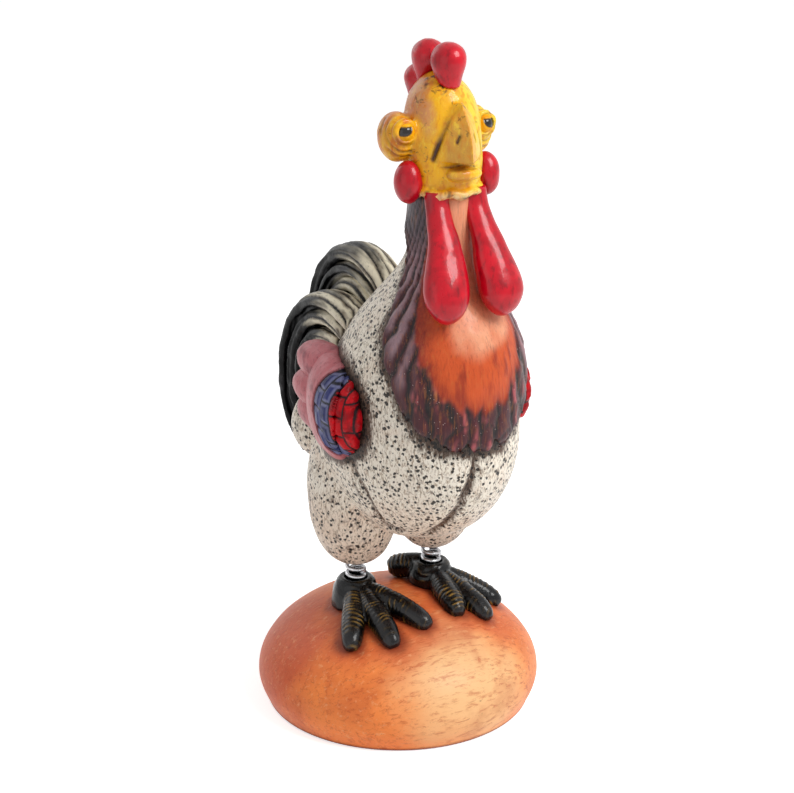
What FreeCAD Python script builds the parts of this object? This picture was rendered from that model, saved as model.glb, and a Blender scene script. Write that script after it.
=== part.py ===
import FreeCAD, Part
import math
import os

# A painted rooster figurine that wobbles on two coil-spring legs above a domed base.
# Millimetres. The origin is the centre of the base's underside, +Z is up and the rooster looks along -Y.
# The rooster's right side is -X and its left side is +X.

Vec = FreeCAD.Vector
sides = {"right": -1, "left": 1}
overrun = 60.0  # how far a cutting tool runs past what it cuts
ring_points = 8  # control points round every smooth section
degree = 3  # of every smooth surface

# Base
base_radius = 54.5  # at its widest
base_foot_radius = 51.5  # of the flat underside
base_widest_height = 11.0
base_crown_rise = 31.0  # from the widest level to the crown
base_side_share = 0.72  # how full the side is half way down from the widest level

# Leg springs
leg_spacing = 33.0  # between the two spring axes
leg_setback = 3.5  # of both axes behind the base's centre
leg_gap = 7.6  # bare spring between ankle and thigh
wire_diameter = 1.6
coil_radius = 3.3  # to the middle of the wire
coil_pitch = 2.25
end_coil_radius = 2.5  # the last half turn draws in to this
wire_bend_radius = 1.9  # where the wire turns upright
coil_clearance = 0.25  # round the coil in its sockets
foot_socket_depth = 5.0
thigh_socket_depth = 7.0
end_quarters = 2  # quarter turns that draw in, at each end
gap_points = 9  # points measured on each arc of the wire

# Feet
ankle_rise = 10.0  # of the ankle's top over the dome, at the spring's axis
ankle_radius = 9.4
ankle_sink = 5.0  # how far the ankle runs into the dome before it is cut to fit
ankle_shares = [(0.00, 1.00), (0.45, 1.00), (0.72, 0.92), (0.90, 0.80), (1.00, 0.66)]  # height, radius
toe_half_width = 4.6
toe_half_height = 5.0
toe_root_lift = 4.4  # of a toe's middle line over the dome, at the ankle
toe_tip_lift = 0.8
toes = {  # length, degrees that the toe points away from the other foot, extra rise over the dome
    "right": [(30.5, 30.0, 0.0), (34.5, 2.0, 0.0), (35.0, -26.0, 0.0), (15.0, 208.0, 3.0)],
    "left": [(27.0, 54.0, 0.0), (31.0, 18.0, 0.0), (28.0, -6.0, 0.0), (18.0, 218.0, 3.0)],
}
toe_shares = [  # along the toe, half width, half height
    (0.00, 0.75, 0.85),
    (0.25, 0.92, 1.00),
    (0.50, 0.98, 1.00),
    (0.75, 1.00, 0.97),
    (0.90, 0.88, 0.86),
    (0.97, 0.66, 0.66),
    (1.00, 0.36, 0.40),
]

# Torso and neck, one hollow shell
torso_height = 133.0  # belly to the neck's top
torso_half_width = 35.0
torso_half_depth = 47.0
torso_wall = 4.0
belly_clearance = 16.5  # of the belly over the thighs' lower ends
torso_shares = [  # height, forward shift, half width, half depth
    (0.000, 0.351, 0.260, 0.234),
    (0.011, 0.351, 0.410, 0.372),
    (0.041, 0.362, 0.570, 0.553),
    (0.093, 0.362, 0.735, 0.745),
    (0.161, 0.351, 0.875, 0.915),
    (0.236, 0.351, 0.980, 1.000),
    (0.311, 0.372, 1.000, 1.000),
    (0.402, 0.436, 0.965, 0.936),
    (0.492, 0.521, 0.930, 0.840),
    (0.567, 0.585, 0.865, 0.755),
    (0.642, 0.628, 0.740, 0.645),
    (0.710, 0.670, 0.560, 0.500),
    (0.777, 0.690, 0.380, 0.345),
    (0.845, 0.745, 0.280, 0.270),
    (0.920, 0.755, 0.258, 0.236),
    (1.000, 0.766, 0.262, 0.221),
]
cavity_start = 2  # the hollow starts at this section of the table

# Thighs
thigh_height = 62.0
thigh_half_width = 17.5
thigh_half_depth = 19.5
thigh_shares = [  # height, outward shift, half width, half depth
    (0.00, 0.00, 0.40, 0.36),
    (0.03, 0.00, 0.58, 0.52),
    (0.11, 0.02, 0.79, 0.73),
    (0.26, 0.04, 0.94, 0.91),
    (0.46, 0.04, 1.00, 1.00),
    (0.70, 0.00, 1.00, 1.00),
    (0.88, -0.10, 0.74, 0.76),
    (1.00, -0.25, 0.36, 0.40),
]

# Cape of hackle feathers over the neck and breast
cape_thickness = 2.4
cape_edge_shares = [  # the lower edge seen from the side: depth before the legs, height
    (3.00, 0.335),
    (1.42, 0.335),
    (1.33, 0.355),
    (1.22, 0.395),
    (1.13, 0.440),
    (1.04, 0.530),
    (0.93, 0.580),
    (0.86, 0.640),
    (0.81, 0.700),
    (0.72, 0.800),
    (0.60, 0.860),
    (0.00, 0.900),
]
hackle_notches = 22  # between the pointed feather ends, round the cape's edge
hackle_notch_depth = 7.0
hackle_notch_width = 3.0
hackle_turn_degrees = 150  # the notches reach this far round each side of the breast

# Head
head_height = 41.0
head_half_width = 14.0
head_half_depth = 13.6
head_shares = [  # height, forward shift, half width, half depth
    (0.00, 0.00, 0.84, 0.88),
    (0.06, 0.03, 0.93, 0.96),
    (0.18, 0.06, 0.98, 1.00),
    (0.38, 0.04, 1.00, 1.00),
    (0.60, -0.02, 0.97, 0.96),
    (0.78, -0.08, 0.85, 0.86),
    (0.91, -0.13, 0.62, 0.66),
    (0.98, -0.15, 0.35, 0.38),
    (1.00, -0.15, 0.17, 0.19),
]

# Beak
beak_length = 9.5  # of the tip in front of the face
beak_half_width = 8.2
beak_half_height = 9.0
beak_shares = [  # along the beak, drop of its middle, half width, half height
    (-0.90, -0.35, 0.85, 0.85),
    (-0.30, -0.20, 1.00, 1.00),
    (0.20, 0.10, 0.94, 0.94),
    (0.60, 0.50, 0.74, 0.76),
    (0.85, 0.84, 0.50, 0.54),
    (0.97, 1.04, 0.30, 0.34),
    (1.00, 1.08, 0.15, 0.17),
]
beak_level_share = 0.62  # height on the head of the beak's root
lower_beak_length = 6.0
lower_beak_half_width = 7.6
lower_beak_half_height = 4.8
lower_beak_shares = [  # along the beak, drop of its middle, half width, half height
    (-0.90, 0.00, 0.90, 0.90),
    (0.00, 0.00, 1.00, 1.00),
    (0.55, -0.10, 0.86, 0.88),
    (0.86, -0.25, 0.56, 0.60),
    (1.00, -0.35, 0.24, 0.28),
]
lower_beak_level_share = 0.18

# Eyes: a mound, a ring of lid and a ball each
eye_level_share = 0.475  # height on the head
eye_setback = 4.0  # of the mound's middle behind the head's own
eye_mound_radii = Vec(6.4, 8.0, 8.7)
eye_mound_stand_off = 2.0  # of its middle outside the head's side
eye_turn_degrees = 4.0  # each eye looks this far outwards from straight ahead
eye_rise = 3.0  # of the ball over the mound's middle
eye_sink = 0.6  # of the lid's ring inside the mound's front
eyeball_radius = 3.2
eyelid_radius = 3.6  # of the ring's middle line
eyelid_thickness = 1.3

# Comb, three lobes from front to rear
comb_half_width = 6.3
comb_half_depth = 6.6
comb_height = 15.4
comb_sink = 4.0  # of a lobe's root below the skull's outline
comb_shares = {  # depth behind the head's middle, root height on the head, size of the lobe
    "front": (-0.45, 0.985, 1.00),
    "middle": (0.60, 0.960, 1.00),
    "rear": (1.15, 0.800, 0.84),
}
lobe_shares = [  # height, half width
    (0.00, 0.60),
    (0.20, 0.70),
    (0.42, 0.92),
    (0.62, 1.00),
    (0.80, 0.92),
    (0.93, 0.64),
    (1.00, 0.24),
]

# Ear lobes and wattles
ear_lobe_radii = Vec(5.0, 5.4, 7.6)
ear_lobe_level_share = 0.125  # height on the head
ear_lobe_forward = 3.0
ear_lobe_stand_off = 1.8  # of its middle outside the head's side
wattle_length = 44.5
wattle_half_width = 8.7
wattle_half_depth = 7.0
wattle_top_spacing = 14.2  # between the two middles, at the chin
wattle_bottom_spacing = 21.8
wattle_chin_share = 1.00  # how far forward of the head's middle the wattles start
wattle_bulb_share = 0.80  # of the wattle's length down to its widest place
wattle_clearance = 0.3  # before the cape, at the bulb
wattle_rise = 4.0  # of the wattle's root above the head's lower edge
wattle_shares = [  # length from the top, drift to the bottom place, size
    (0.00, 0.00, 0.54),
    (0.12, 0.05, 0.54),
    (0.28, 0.18, 0.55),
    (0.46, 0.42, 0.70),
    (0.64, 0.74, 0.92),
    (0.79, 0.94, 1.00),
    (0.91, 1.00, 0.80),
    (0.975, 1.00, 0.50),
    (1.00, 1.00, 0.22),
]

# Wings: layered mounds, each overlapping the one behind it
wing_length = 54.0
wing_height = 34.0
wing_half_thickness = 9.0
wing_sink = 2.5  # of the layers' middle inside the torso's side
wing_level_share = 0.390  # height on the torso
wing_back = 17.0  # of the wing's middle behind the torso's own
wing_shares = {  # back, up, outward, half length, half height, half thickness, turn in degrees
    "red_scales": (-0.39, 0.00, -0.10, 0.270, 0.460, 0.94, 26.0),
    "inner_coverts": (-0.28, 0.00, 0.05, 0.310, 0.500, 0.89, 20.0),
    "outer_coverts": (-0.18, 0.02, 0.05, 0.320, 0.520, 0.84, 12.0),
    "upper_flight_feather": (0.00, 0.38, -0.15, 0.280, 0.220, 0.74, -6.0),
    "middle_flight_feather": (0.04, 0.06, -0.10, 0.290, 0.210, 0.74, -8.0),
    "lower_flight_feather": (0.00, -0.20, -0.15, 0.280, 0.210, 0.70, -8.0),
}

# Tail: sickle feathers that arch over and hang down behind
tail_arcs = {  # common middle of a column's arcs behind the torso and its height on it, the outermost arc
    "side": {"stand_off": -10.5, "level_share": 0.305, "half_depth": 40.5, "half_height": 43.0},
    "centre": {"stand_off": 1.5, "level_share": 0.420, "half_depth": 39.0, "half_height": 44.5},
}
tail_arc_step = 7.0  # from one arc to the next inside it
feather_half_thickness = 4.3  # deeper than the arcs' step, so each is cut by the one outside it
feather_half_width = 7.0
feather_column_spacing = 11.5
tail_splay_degrees = 2.0
feather_start_degrees = 158.0
side_feather_ends = [-44.0, -38.0, -32.0, -22.0]  # degrees, from the outermost arc inwards
centre_feather_ends = [-44.0, -36.0, -28.0]
feather_shares = [  # along the feather, width, thickness
    (0.00, 0.80, 0.80),
    (0.18, 1.00, 1.00),
    (0.38, 1.05, 1.00),
    (0.58, 1.12, 1.00),
    (0.78, 1.12, 0.90),
    (0.92, 0.80, 0.62),
    (1.00, 0.30, 0.22),
]

# Tail core, the mass that the feathers lie on
tail_core_half_width = 14.0
tail_core_level_share = 0.350  # height of its middle on the torso
tail_core_stand_off = -2.0  # of its middle behind the torso
tail_core_half_depth = 26.0
tail_core_half_height = 32.0

# Rump, a mound under the tail
rump_radii = Vec(20.0, 31.0, 20.0)  # back and forth, across, upright
rump_level_share = 0.235  # height of its middle on the torso
rump_sink = 8.0  # of its middle inside the torso's back
seam_turn_degrees = 90.0  # the seams of rump and core face backwards

axis_x = leg_spacing / 2
crown_height = base_widest_height + base_crown_rise
socket_radius = coil_radius + wire_diameter / 2 + coil_clearance


def dome_height(x, y):
    """Height of the dome above the table."""
    reach = (x * x + y * y) / (base_radius * base_radius)
    return base_widest_height + base_crown_rise * math.sqrt(max(0, 1 - reach))


foot_top = dome_height(axis_x, leg_setback) + ankle_rise
thigh_bottom = foot_top + leg_gap
belly_bottom = thigh_bottom + belly_clearance
neck_top = belly_bottom + torso_height


def row_at(table, share):
    """A table's row at a share along it, worked out between its rows where it has none."""
    for before, after in zip(table, table[1:]):
        if share <= after[0]:
            part = (share - before[0]) / (after[0] - before[0])
            return [a + part * (b - a) for a, b in zip(before, after)]
    return list(table[-1])


def torso_section(share):
    """Middle line's y, half width and half depth of the torso at a share of its height."""
    row = row_at(torso_shares, share)
    return leg_setback - row[1] * torso_half_depth, row[2] * torso_half_width, row[3] * torso_half_depth


neck_y = torso_section(1)[0]


def head_section(share):
    """Middle line's y, half width and half depth of the head at a share of its height."""
    row = row_at(head_shares, share)
    return neck_y - row[1] * head_half_depth, row[2] * head_half_width, row[3] * head_half_depth


def axes_matrix(origin, x_axis, y_axis, z_axis):
    """Matrix that carries the unit axes to these ones, at an origin."""
    rows = [(x_axis[i], y_axis[i], z_axis[i], origin[i]) for i in range(3)]
    return FreeCAD.Matrix(*rows[0], *rows[1], *rows[2], 0, 0, 0, 1)


def ring(origin, u_axis, v_axis):
    """Control points of an elliptical section whose half axes are the two vectors."""
    turns = [2 * math.pi * i / ring_points for i in range(ring_points)]
    fullness = 3 / (2 + math.cos(turns[1]))
    return [origin + (u_axis * math.cos(turn) + v_axis * math.sin(turn)) * fullness for turn in turns]


def skin(rings):
    """Smooth closed solid that follows a row of elliptical sections, flat at both ends."""
    spans = len(rings) - degree
    surface = Part.BSplineSurface()
    surface.buildFromPolesMultsKnots(
        [list(line) for line in zip(*rings)],
        [1] * (ring_points + 1),
        [degree + 1] + [1] * (spans - 1) + [degree + 1],
        list(range(ring_points + 1)),
        list(range(spans + 1)),
        True,
        False,
        degree,
        degree,
    )
    side = surface.toShape()
    ends = [Part.Face(Part.Wire([edge])) for edge in side.Edges if edge.isClosed() and not edge.isSeam(side)]
    shell = Part.makeShell([side] + ends)
    shell.sewShape()
    return Part.makeSolid(shell)


def stack(sections):
    """Smooth solid through level ellipses, each given as x, y, z, half width and half depth."""
    return skin([ring(Vec(x, y, z), Vec(a, 0, 0), Vec(0, b, 0)) for x, y, z, a, b in sections])


def mound(centre, radii, turn_degrees=0):
    """Ellipsoid, turned about the upright axis through its centre."""
    turn = math.radians(turn_degrees)
    along = Vec(math.cos(turn), math.sin(turn), 0)
    across = Vec(-math.sin(turn), math.cos(turn), 0)
    matrix = axes_matrix(centre, along * radii.x, across * radii.y, Vec(0, 0, radii.z))
    return Part.makeSphere(1).transformGeometry(matrix)


def largest(shape):
    """The largest solid of a shape; slivers that came loose are dropped."""
    return max(shape.Solids, key=lambda solid: solid.Volume)


def without(shape, *others):
    """The largest solid that is left of a shape where others are cut from it."""
    return largest(shape.cut(list(others)))


def mirrored(shape):
    """The same shape on the rooster's other side."""
    return shape.mirror(Vec(0, 0, 0), Vec(1, 0, 0))


def upright_cylinder(x, y, low, high, radius):
    """Cylinder between two levels."""
    return Part.makeCylinder(radius, high - low, Vec(x, y, low))


def base_dome():
    """Solid domed base with a rounded side and a flat underside."""
    half_way = math.sqrt(0.5)
    quarter = Part.Arc(Vec(1, 0, 0), Vec(half_way, 0, half_way), Vec(0, 0, 1)).toShape()
    middle = Vec(0, 0, base_widest_height)
    matrix = axes_matrix(middle, Vec(base_radius, 0, 0), Vec(0, 1, 0), Vec(0, 0, base_crown_rise))
    crown = quarter.transformGeometry(matrix)
    widest = Vec(base_radius, 0, base_widest_height)
    foot_edge = Vec(base_foot_radius, 0, 0)
    bulge = base_foot_radius + base_side_share * (base_radius - base_foot_radius)
    side = Part.Arc(widest, Vec(bulge, 0, base_widest_height / 2), foot_edge).toShape()
    floor = Part.makeLine(foot_edge, Vec(0, 0, 0))
    axis = Part.makeLine(Vec(0, 0, 0), Vec(0, 0, crown_height))
    outline = Part.Wire(Part.__sortEdges__([crown, side, floor, axis]))
    return largest(Part.Face(outline).revolve(Vec(0, 0, 0), Vec(0, 0, 1), 360))


def toe(side, length, outward_degrees, rise):
    """One toe that lies along the dome, from the spring's axis to its tip."""
    outward = math.radians(outward_degrees)
    heading = Vec(side * math.sin(outward), -math.cos(outward), 0)
    across = Vec(-heading.y, heading.x, 0)
    start = Vec(side * axis_x, leg_setback, 0)

    def point(share):
        place = start + heading * (share * length)
        lift = toe_root_lift + share * (toe_tip_lift - toe_root_lift) + rise
        return Vec(place.x, place.y, dome_height(place.x, place.y) + lift)

    rings = []
    for share, width, height in toe_shares:
        step = toe_shares[1][0] / 2
        slope = (point(share + step) - point(share - step)).normalize()
        up = slope.cross(across)
        up = up if up.z > 0 else up * -1
        rings.append(ring(point(share), across * (width * toe_half_width), up * (height * toe_half_height)))
    return skin(rings)


def foot(name, dome):
    """Ankle with the spring's blind socket, three front toes and a hind toe."""
    side = sides[name]
    x = side * axis_x
    low = dome_height(axis_x, leg_setback) - ankle_sink
    rows = [(x, leg_setback, low + h * (foot_top - low), r * ankle_radius, r * ankle_radius) for h, r in ankle_shares]
    pieces = [toe(side, length, angle, rise) for length, angle, rise in toes[name]]
    whole = stack(rows).multiFuse(pieces)
    socket = upright_cylinder(x, leg_setback, foot_top - foot_socket_depth, foot_top + overrun, socket_radius)
    return without(whole, dome, socket)


def tangent_arc(start, way, end):
    """Arc from one point to another that leaves along a unit vector."""
    chord = end - start
    along = Vec(chord).normalize()
    across = (way - along * way.dot(along)).normalize()
    half_turn = math.acos(max(-1, min(1, way.dot(along))))
    rise = chord.Length / 2 * math.tan(half_turn / 2)
    return Part.Arc(start, start + chord * 0.5 + across * rise, end)


def biarc(start, start_way, end, end_way):
    """Two arcs that join two points smoothly, leaving and arriving along unit vectors."""
    chord = end - start
    along = chord.dot(start_way + end_way)
    spread = 2 * (1 - start_way.dot(end_way))
    reach = (-along + math.sqrt(along * along + spread * chord.dot(chord))) / spread
    joint = (start + end + (start_way - end_way) * reach) * 0.5
    joint_way = (joint - start - start_way * reach).normalize()
    return [tangent_arc(start, start_way, joint), tangent_arc(joint, joint_way, end)]


def print_least_gap(name, curves):
    """Measures how near the wire comes to itself, on points, and prints it."""
    points = []
    length = 0
    for curve in curves:
        span = curve.length()
        for i in range(gap_points):
            reach = span * i / gap_points
            points.append((length + reach, curve.value(curve.parameterAtDistance(reach))))
        length += span
    apart = 3 * wire_diameter
    pairs = [(p, q) for i, (a, p) in enumerate(points) for b, q in points[i:] if b - a > apart]
    nearest = min(p.distanceToPoint(q) for p, q in pairs)
    print(name, "leg spring, least gap of the wire to itself:", round(nearest - wire_diameter, 2))


def leg_spring(name):
    """One unbroken coil whose ends draw in, turn upright and stand on the ends of the sockets."""
    x = sides[name] * axis_x
    floor = foot_top - foot_socket_depth
    ceiling = thigh_bottom + thigh_socket_depth
    end_rise = wire_diameter + wire_bend_radius
    coil_length = ceiling - floor - 2 * end_rise
    quarters = int(coil_length / (coil_pitch / 4))
    rise = coil_length / quarters

    def place(quarter):
        """Point and unit direction of the wire after so many quarter turns."""
        ease = min(1, min(quarter, quarters - quarter) / end_quarters)
        draw_in = coil_radius - end_coil_radius
        radius = coil_radius - draw_in * (1 + math.cos(math.pi * ease)) / 2
        growth = draw_in * math.sin(math.pi * ease) * math.pi / (2 * end_quarters)
        growth = growth if quarter < quarters / 2 else -growth
        turn = quarter * math.pi / 2
        out = Vec(math.cos(turn), math.sin(turn), 0)
        onward = Vec(-math.sin(turn), math.cos(turn), 0)
        point = Vec(x, leg_setback, floor + end_rise + quarter * rise) + out * radius
        way = onward * (radius * math.pi / 2) + out * growth + Vec(0, 0, rise)
        return point, way.normalize()

    def bend(point, way, up):
        """Arc that leads from one end of the coil to the upright, and the upright itself."""
        upright = Vec(0, 0, up)
        half_turn = math.acos(way.dot(upright)) / 2
        reach = wire_bend_radius * math.tan(half_turn)
        corner = point + way * reach
        start = corner + upright * reach
        inward = (upright - way).normalize()
        middle = corner + inward * (wire_bend_radius / math.cos(half_turn) - wire_bend_radius)
        end = Vec(start.x, start.y, ceiling if up > 0 else floor)
        return [Part.Arc(point, middle, start), Part.LineSegment(start, end)]

    first_point, first_way = place(0)
    curves = bend(first_point, first_way * -1, -1)[::-1]
    foot_end = curves[0].EndPoint
    for quarter in range(quarters):
        curves.extend(biarc(*place(quarter), *place(quarter + 1)))
    curves.extend(bend(*place(quarters), 1))
    print_least_gap(name, curves)
    path = Part.Wire(Part.__sortEdges__([curve.toShape() for curve in curves]))
    section = Part.Wire([Part.Edge(Part.Circle(Vec(foot_end), Vec(0, 0, 1), wire_diameter / 2))])
    return largest(path.makePipeShell([section], True, False))


def torso_stack(growth, first=0):
    """The torso's outline, grown or shrunk all round, from one of its sections up."""
    sections = []
    for row in torso_shares[first:]:
        y, half_width, half_depth = torso_section(row[0])
        sections.append((0, y, belly_bottom + row[0] * torso_height, half_width + growth, half_depth + growth))
    return stack(sections)


def thigh(torso_outline):
    """Left thigh fitted against the torso, with the spring's blind socket in its lower end."""
    rows = []
    for height, outward, width, depth in thigh_shares:
        x = axis_x + outward * thigh_half_width
        z = thigh_bottom + height * thigh_height
        rows.append((x, leg_setback, z, width * thigh_half_width, depth * thigh_half_depth))
    socket_top = thigh_bottom + thigh_socket_depth
    socket = upright_cylinder(axis_x, leg_setback, thigh_bottom - overrun, socket_top, socket_radius)
    return without(stack(rows), torso_outline, socket)


def cape_edge_points():
    """The cape's lower edge seen from the side, as y and z, front first."""
    return [(leg_setback - d * torso_half_depth, belly_bottom + h * torso_height) for d, h in cape_edge_shares]


def hackle_notch(index):
    """Wedge that parts two feather ends at the cape's edge."""
    turn = math.radians(hackle_turn_degrees * (2 * (index + 0.5) / hackle_notches - 1))
    heading = Vec(math.sin(turn), -math.cos(turn), 0)
    across = Vec(-heading.y, heading.x, 0) * (hackle_notch_width / 2)
    share = cape_edge_shares[0][1]
    for _ in range(20):
        y, half_width, half_depth = torso_section(share)
        edge = row_at(cape_edge_points(), y - half_depth * math.cos(turn))[1]
        share += 0.5 * ((edge - belly_bottom) / torso_height - share)
    low = Vec(0, y, edge - hackle_notch_depth)
    middle = Vec(0, y, edge)
    apex = Vec(0, y, edge + hackle_notch_depth)
    outline = [low - across, middle - across, apex, middle + across, low + across, low - across]
    return Part.Face(Part.makePolygon(outline)).extrude(heading * (torso_half_depth + overrun))


def hackle_cape(torso_outline):
    """Shell over the neck and breast whose lower edge ends in pointed feathers."""
    edge = [Vec(-overrun, y, z) for y, z in cape_edge_points()]
    front, back = edge[0], edge[-1]
    high = neck_top + overrun
    behind = back.y + torso_half_depth
    outline = edge + [Vec(-overrun, behind, back.z), Vec(-overrun, behind, high), Vec(-overrun, front.y, high), front]
    half_space = Part.Face(Part.makePolygon(outline)).extrude(Vec(2 * overrun, 0, 0))
    shell = largest(torso_stack(cape_thickness).cut(torso_outline).common(half_space))
    notches = [hackle_notch(i) for i in range(hackle_notches)]
    return without(shell, *notches)


def head_outline():
    """Skull and face."""
    sections = []
    for row in head_shares:
        y, half_width, half_depth = head_section(row[0])
        sections.append((0, y, neck_top + row[0] * head_height, half_width, half_depth))
    return stack(sections)


def snout(level_share, length, half_width, half_height, table):
    """Tapered form that stands out of the face; a positive drop lowers it."""
    y, _, half_depth = head_section(level_share)
    face = y - half_depth
    level = neck_top + level_share * head_height
    rings = []
    for along, drop, width, height in table:
        centre = Vec(0, face - along * length, level - drop * half_height)
        rings.append(ring(centre, Vec(width * half_width, 0, 0), Vec(0, 0, height * half_height)))
    return skin(rings)


def eye(head):
    """Mound, ring of lid and ball of the left eye."""
    y, half_width, _ = head_section(eye_level_share)
    level = neck_top + eye_level_share * head_height
    centre = Vec(half_width + eye_mound_stand_off, y + eye_setback, level)
    turn = math.radians(eye_turn_degrees)
    look = Vec(math.sin(turn), -math.cos(turn), 0)
    front = centre + look * (eye_mound_radii.y - eye_sink) + Vec(0, 0, eye_rise)
    lid = Part.makeTorus(eyelid_radius, eyelid_thickness, front, look)
    ball = Part.makeSphere(eyeball_radius, front - look * (eyeball_radius / 4))
    return {
        "eye_mound": without(mound(centre, eye_mound_radii), head, ball, lid),
        "eyelid": without(lid, head, ball),
        "eyeball": without(ball, head),
    }


def comb_lobe(name):
    """One fleshy lobe of the comb, wider above than at its root."""
    back, root, size = comb_shares[name]
    y = head_section(root)[0] + back * head_half_depth
    z = neck_top + root * head_height - comb_sink
    rows = []
    for height, width in lobe_shares:
        half_width = width * size * comb_half_width
        rows.append((0, y, z + height * size * comb_height, half_width, width * size * comb_half_depth))
    return stack(rows)


def ear_lobe():
    """Fleshy oval on the left cheek."""
    y, half_width, _ = head_section(ear_lobe_level_share)
    level = neck_top + ear_lobe_level_share * head_height
    return mound(Vec(half_width + ear_lobe_stand_off, y - ear_lobe_forward, level), ear_lobe_radii)


def wattle():
    """Long drop that hangs from the chin before the breast, left of the middle."""
    top = neck_top + wattle_rise
    chin = head_section(0)[0] - wattle_chin_share * head_half_depth
    bulb_level = (top - wattle_bulb_share * wattle_length - belly_bottom) / torso_height
    y, _, half_depth = torso_section(bulb_level)
    hang = y - half_depth - cape_thickness - wattle_clearance - wattle_half_depth
    rows = []
    for along, drift, size in wattle_shares:
        x = (wattle_top_spacing + drift * (wattle_bottom_spacing - wattle_top_spacing)) / 2
        depth = chin + drift * (hang - chin)
        rows.append((x, depth, top - along * wattle_length, size * wattle_half_width, size * wattle_half_depth))
    return stack(rows[::-1])


def wing_layer(layer):
    """One of the layers of the left wing."""
    back, up, out, length, height, thickness, turn = wing_shares[layer]
    y, half_width, _ = torso_section(wing_level_share)
    x = half_width - wing_sink + out * wing_half_thickness
    z = belly_bottom + wing_level_share * torso_height + up * wing_height
    radii = Vec(thickness * wing_half_thickness, length * wing_length, height * wing_height)
    return mound(Vec(x, y + wing_back + back * wing_length, z), radii, turn)


def wing(torso_outline):
    """All the layers of the left wing, each cut by those that lie over it."""
    pieces = {}
    outlines = []
    for layer in wing_shares:
        outline = wing_layer(layer)
        pieces["wing_" + layer] = without(outline, torso_outline, *outlines)
        outlines.append(outline)
    return pieces


def feather(column, arc, end_degrees):
    """Sickle feather along one arc of the tail's centre column, 0, or its left one, 1."""
    arcs = tail_arcs["side" if column else "centre"]
    y, _, depth_there = torso_section(arcs["level_share"])
    middle = Vec(0, y + depth_there + arcs["stand_off"], belly_bottom + arcs["level_share"] * torso_height)
    half_depth = arcs["half_depth"] - arc * tail_arc_step
    half_height = arcs["half_height"] - arc * tail_arc_step
    splay = math.tan(math.radians(tail_splay_degrees)) * column
    rings = []
    for along, width, thickness in feather_shares:
        turn = math.radians(feather_start_degrees + along * (end_degrees - feather_start_degrees))
        depth = half_depth * math.cos(turn)
        x = column * feather_column_spacing + (depth + half_depth) * splay
        centre = Vec(x, middle.y + depth, middle.z + half_height * math.sin(turn))
        out = Vec(0, half_height * math.cos(turn), half_depth * math.sin(turn)).normalize()
        rings.append(ring(centre, Vec(width * feather_half_width, 0, 0), out * (thickness * feather_half_thickness)))
    return skin(rings)


def tail_core():
    """Solid mass inside the tail's arcs."""
    y, _, half_depth = torso_section(tail_core_level_share)
    centre = Vec(0, y + half_depth + tail_core_stand_off, belly_bottom + tail_core_level_share * torso_height)
    return mound(centre, Vec(tail_core_half_depth, tail_core_half_width, tail_core_half_height), seam_turn_degrees)


def rump():
    """Mound that fills the body out under the tail."""
    y, _, half_depth = torso_section(rump_level_share)
    level = belly_bottom + rump_level_share * torso_height
    return mound(Vec(0, y + half_depth - rump_sink, level), rump_radii, seam_turn_degrees)


def build():
    """Every piece by its name."""
    dome = base_dome()
    torso_outline = torso_stack(0)
    head = head_outline()
    cape = hackle_cape(torso_outline)
    upper = snout(beak_level_share, beak_length, beak_half_width, beak_half_height, beak_shares)
    lower = snout(
        lower_beak_level_share, lower_beak_length, lower_beak_half_width, lower_beak_half_height, lower_beak_shares
    )
    pieces = {
        "base_dome": dome,
        "torso": without(torso_outline, torso_stack(-torso_wall, cavity_start)),
        "hackle_cape": cape,
        "head": head,
        "upper_beak": without(upper, head),
        "lower_beak": without(lower, head, upper),
    }
    lobes = []
    for name in comb_shares:
        lobe = comb_lobe(name)
        pieces["comb_" + name + "_lobe"] = without(lobe, head, *lobes)
        lobes.append(lobe)
    for name in sides:
        pieces[name + "_foot"] = foot(name, dome)
        pieces[name + "_leg_spring"] = leg_spring(name)
    left = {"thigh": thigh(torso_outline)}
    left.update(eye(head))
    left["ear_lobe"] = without(ear_lobe(), head, torso_outline, cape, left["eye_mound"])
    left["wattle"] = without(wattle(), head, lower, upper, cape, torso_outline, left["ear_lobe"])
    left.update(wing(torso_outline))
    under_tail = without(rump(), torso_outline, left["thigh"], mirrored(left["thigh"]))
    pieces["rump"] = under_tail
    centre_outlines = []
    for arc, end in enumerate(centre_feather_ends):
        outline = feather(0, arc, end)
        shape = without(outline, torso_outline, under_tail, *centre_outlines[-1:])
        pieces["centre_tail_feather_" + str(arc + 1)] = shape
        centre_outlines.append(outline)
    side_outlines = []
    for arc, end in enumerate(side_feather_ends):
        outline = feather(1, arc, end)
        shape = without(outline, torso_outline, under_tail, *side_outlines[-1:], *centre_outlines)
        left["tail_feather_" + str(arc + 1)] = shape
        side_outlines.append(outline)
    for name, shape in left.items():
        pieces["left_" + name] = shape
        pieces["right_" + name] = mirrored(shape)
    side_outlines += [mirrored(outline) for outline in side_outlines]
    pieces["tail_core"] = without(tail_core(), torso_outline, under_tail, *centre_outlines, *side_outlines)
    return pieces


os.makedirs("parts", exist_ok=True)
for node, solid in build().items():
    solid.exportStep("parts/" + node + ".step")
    print(node, round(solid.Volume), "valid" if solid.isValid() else "NOT VALID", len(solid.Solids))
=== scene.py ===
import math
import bpy
import bmesh
import numpy as np
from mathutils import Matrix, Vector
from mathutils.kdtree import KDTree


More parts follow.
